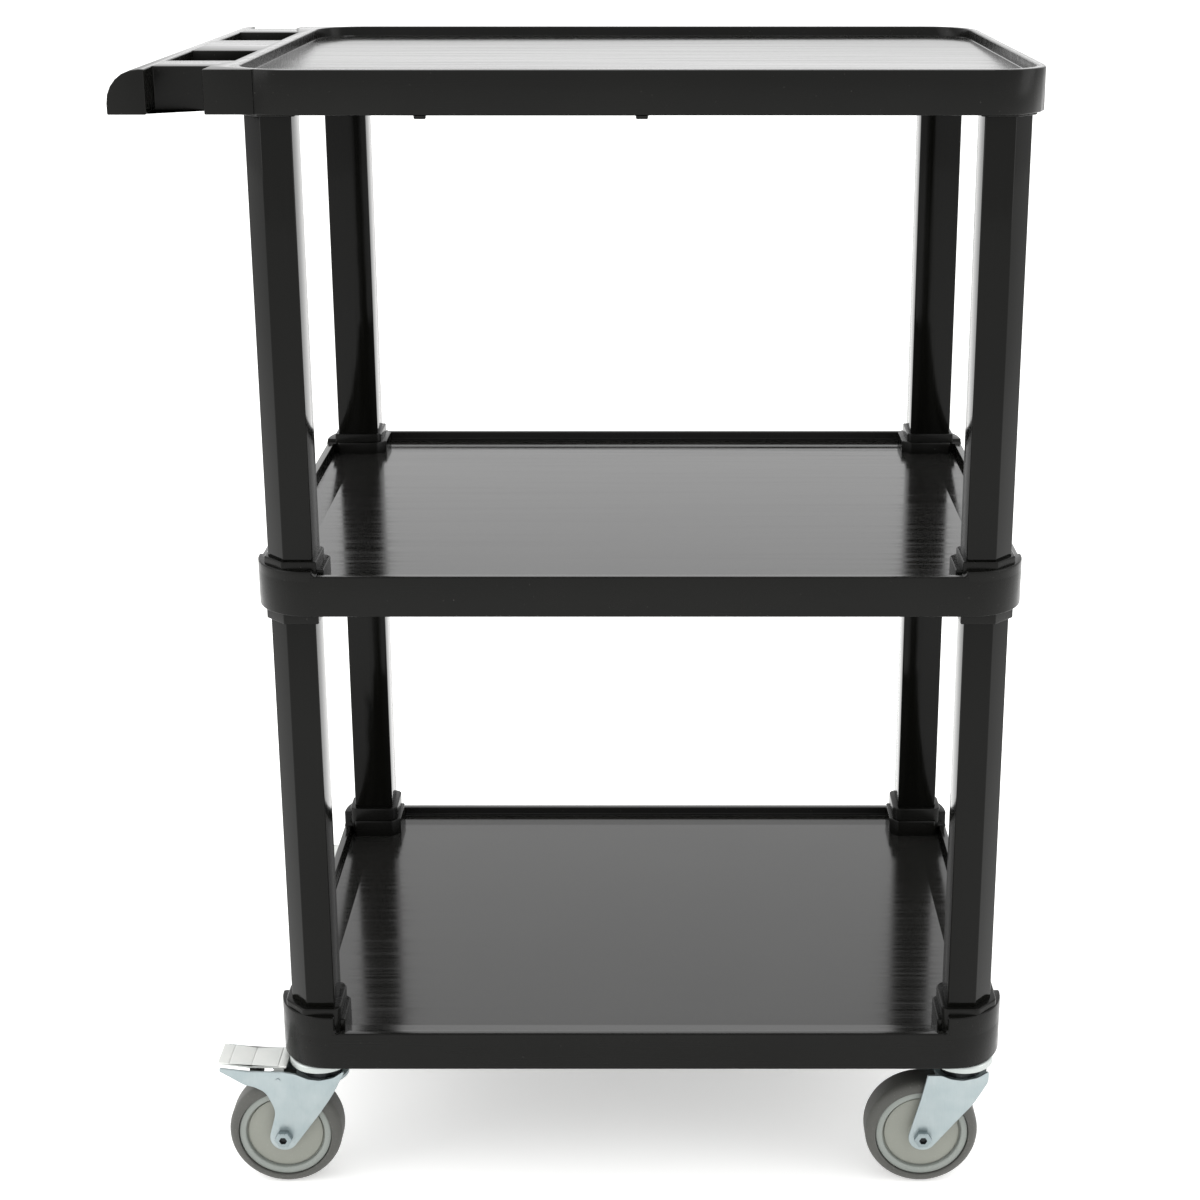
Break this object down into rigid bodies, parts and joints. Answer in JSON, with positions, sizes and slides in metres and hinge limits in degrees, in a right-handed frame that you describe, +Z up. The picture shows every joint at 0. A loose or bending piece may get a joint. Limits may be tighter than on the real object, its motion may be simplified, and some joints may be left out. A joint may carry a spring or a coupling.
{
  "type": "food service trolley",
  "caption": "Three-tier moulded service trolley with corner posts, a push handle moulded into the top tray, and swivel casters, some with a pedal brake.",
  "frame": {"origin": "on the floor, under the middle of the whole trolley with its handle", "axes": "+Z up, X along the trolley with the push handle at -X, Y across it"},
  "size_m": [0.6948, 0.4572, 0.9425],
  "materials": {
    "tray_resin": "satin moulded black resin",
    "leg_resin": "glossy black resin",
    "zinc_plate": "bright zinc-plated pressed steel",
    "white_zinc": "pale zinc-plated steel",
    "dark_steel": "dark greased steel",
    "wheel_centre": "grey moulded plastic",
    "tyre": "grey non-marking rubber",
    "brake_rubber": "black rubber"
  },
  "bodies": {
    "root": {"top_shelf": "tray_resin", "middle_shelf": "tray_resin", "bottom_shelf": "tray_resin", "upper_leg_front_left": "leg_resin", "lower_leg_front_left": "leg_resin", "stem_socket_front_left": "dark_steel", "caster_stem_front_left": "dark_steel", "top_cup_front_left": "white_zinc", "upper_leg_front_right": "leg_resin", "lower_leg_front_right": "leg_resin", "stem_socket_front_right": "dark_steel", "caster_stem_front_right": "dark_steel", "top_cup_front_right": "white_zinc", "upper_leg_back_left": "leg_resin", "lower_leg_back_left": "leg_resin", "stem_socket_back_left": "dark_steel", "caster_stem_back_left": "dark_steel", "top_cup_back_left": "white_zinc", "upper_leg_back_right": "leg_resin", "lower_leg_back_right": "leg_resin", "stem_socket_back_right": "dark_steel", "caster_stem_back_right": "dark_steel", "top_cup_back_right": "white_zinc"},
    "caster_front_left": {"fork_front_left": "zinc_plate", "ball_race_front_left": "dark_steel", "axle_bush_front_left": "zinc_plate", "axle_bolt_front_left": "zinc_plate", "axle_nut_front_left": "zinc_plate", "pedal_pin_front_left": "dark_steel"},
    "wheel_front_left": {"wheel_hub_front_left": "wheel_centre", "tyre_front_left": "tyre"},
    "pedal_front_left": {"brake_pedal_front_left": "white_zinc", "brake_shoe_front_left": "brake_rubber"},
    "caster_front_right": {"fork_front_right": "zinc_plate", "ball_race_front_right": "dark_steel", "axle_bush_front_right": "zinc_plate", "axle_bolt_front_right": "zinc_plate", "axle_nut_front_right": "zinc_plate"},
    "wheel_front_right": {"wheel_hub_front_right": "wheel_centre", "tyre_front_right": "tyre"},
    "caster_back_left": {"fork_back_left": "zinc_plate", "ball_race_back_left": "dark_steel", "axle_bush_back_left": "zinc_plate", "axle_bolt_back_left": "zinc_plate", "axle_nut_back_left": "zinc_plate", "pedal_pin_back_left": "dark_steel"},
    "wheel_back_left": {"wheel_hub_back_left": "wheel_centre", "tyre_back_left": "tyre"},
    "pedal_back_left": {"brake_pedal_back_left": "white_zinc", "brake_shoe_back_left": "brake_rubber"},
    "caster_back_right": {"fork_back_right": "zinc_plate", "ball_race_back_right": "dark_steel", "axle_bush_back_right": "zinc_plate", "axle_bolt_back_right": "zinc_plate", "axle_nut_back_right": "zinc_plate"},
    "wheel_back_right": {"wheel_hub_back_right": "wheel_centre", "tyre_back_right": "tyre"}
  },
  "joints": [
    {"name": "swivel_front_left", "type": "hinge", "parent": "root", "child": "caster_front_left", "pos_m": [-0.229, -0.1986, 0.11], "axis": [0, 0, 1], "continuous": true},
    {"name": "spin_front_left", "type": "hinge", "parent": "caster_front_left", "child": "wheel_front_left", "pos_m": [-0.2615, -0.1986, 0.048], "axis": [0, 1, 0], "continuous": true},
    {"name": "brake_front_left", "type": "hinge", "parent": "caster_front_left", "child": "pedal_front_left", "pos_m": [-0.264, -0.1986, 0.103], "axis": [0, -1, 0], "range_deg": [0, 5.5]},
    {"name": "swivel_front_right", "type": "hinge", "parent": "root", "child": "caster_front_right", "pos_m": [0.3142, -0.1986, 0.11], "axis": [0, 0, 1], "continuous": true},
    {"name": "spin_front_right", "type": "hinge", "parent": "caster_front_right", "child": "wheel_front_right", "pos_m": [0.2817, -0.1986, 0.048], "axis": [0, 1, 0], "continuous": true},
    {"name": "swivel_back_left", "type": "hinge", "parent": "root", "child": "caster_back_left", "pos_m": [-0.229, 0.1986, 0.11], "axis": [0, 0, 1], "continuous": true},
    {"name": "spin_back_left", "type": "hinge", "parent": "caster_back_left", "child": "wheel_back_left", "pos_m": [-0.2615, 0.1986, 0.048], "axis": [0, 1, 0], "continuous": true},
    {"name": "brake_back_left", "type": "hinge", "parent": "caster_back_left", "child": "pedal_back_left", "pos_m": [-0.264, 0.1986, 0.103], "axis": [0, -1, 0], "range_deg": [0, 5.5]},
    {"name": "swivel_back_right", "type": "hinge", "parent": "root", "child": "caster_back_right", "pos_m": [0.3142, 0.1986, 0.11], "axis": [0, 0, 1], "continuous": true},
    {"name": "spin_back_right", "type": "hinge", "parent": "caster_back_right", "child": "wheel_back_right", "pos_m": [0.2817, 0.1986, 0.048], "axis": [0, 1, 0], "continuous": true}
  ]
}
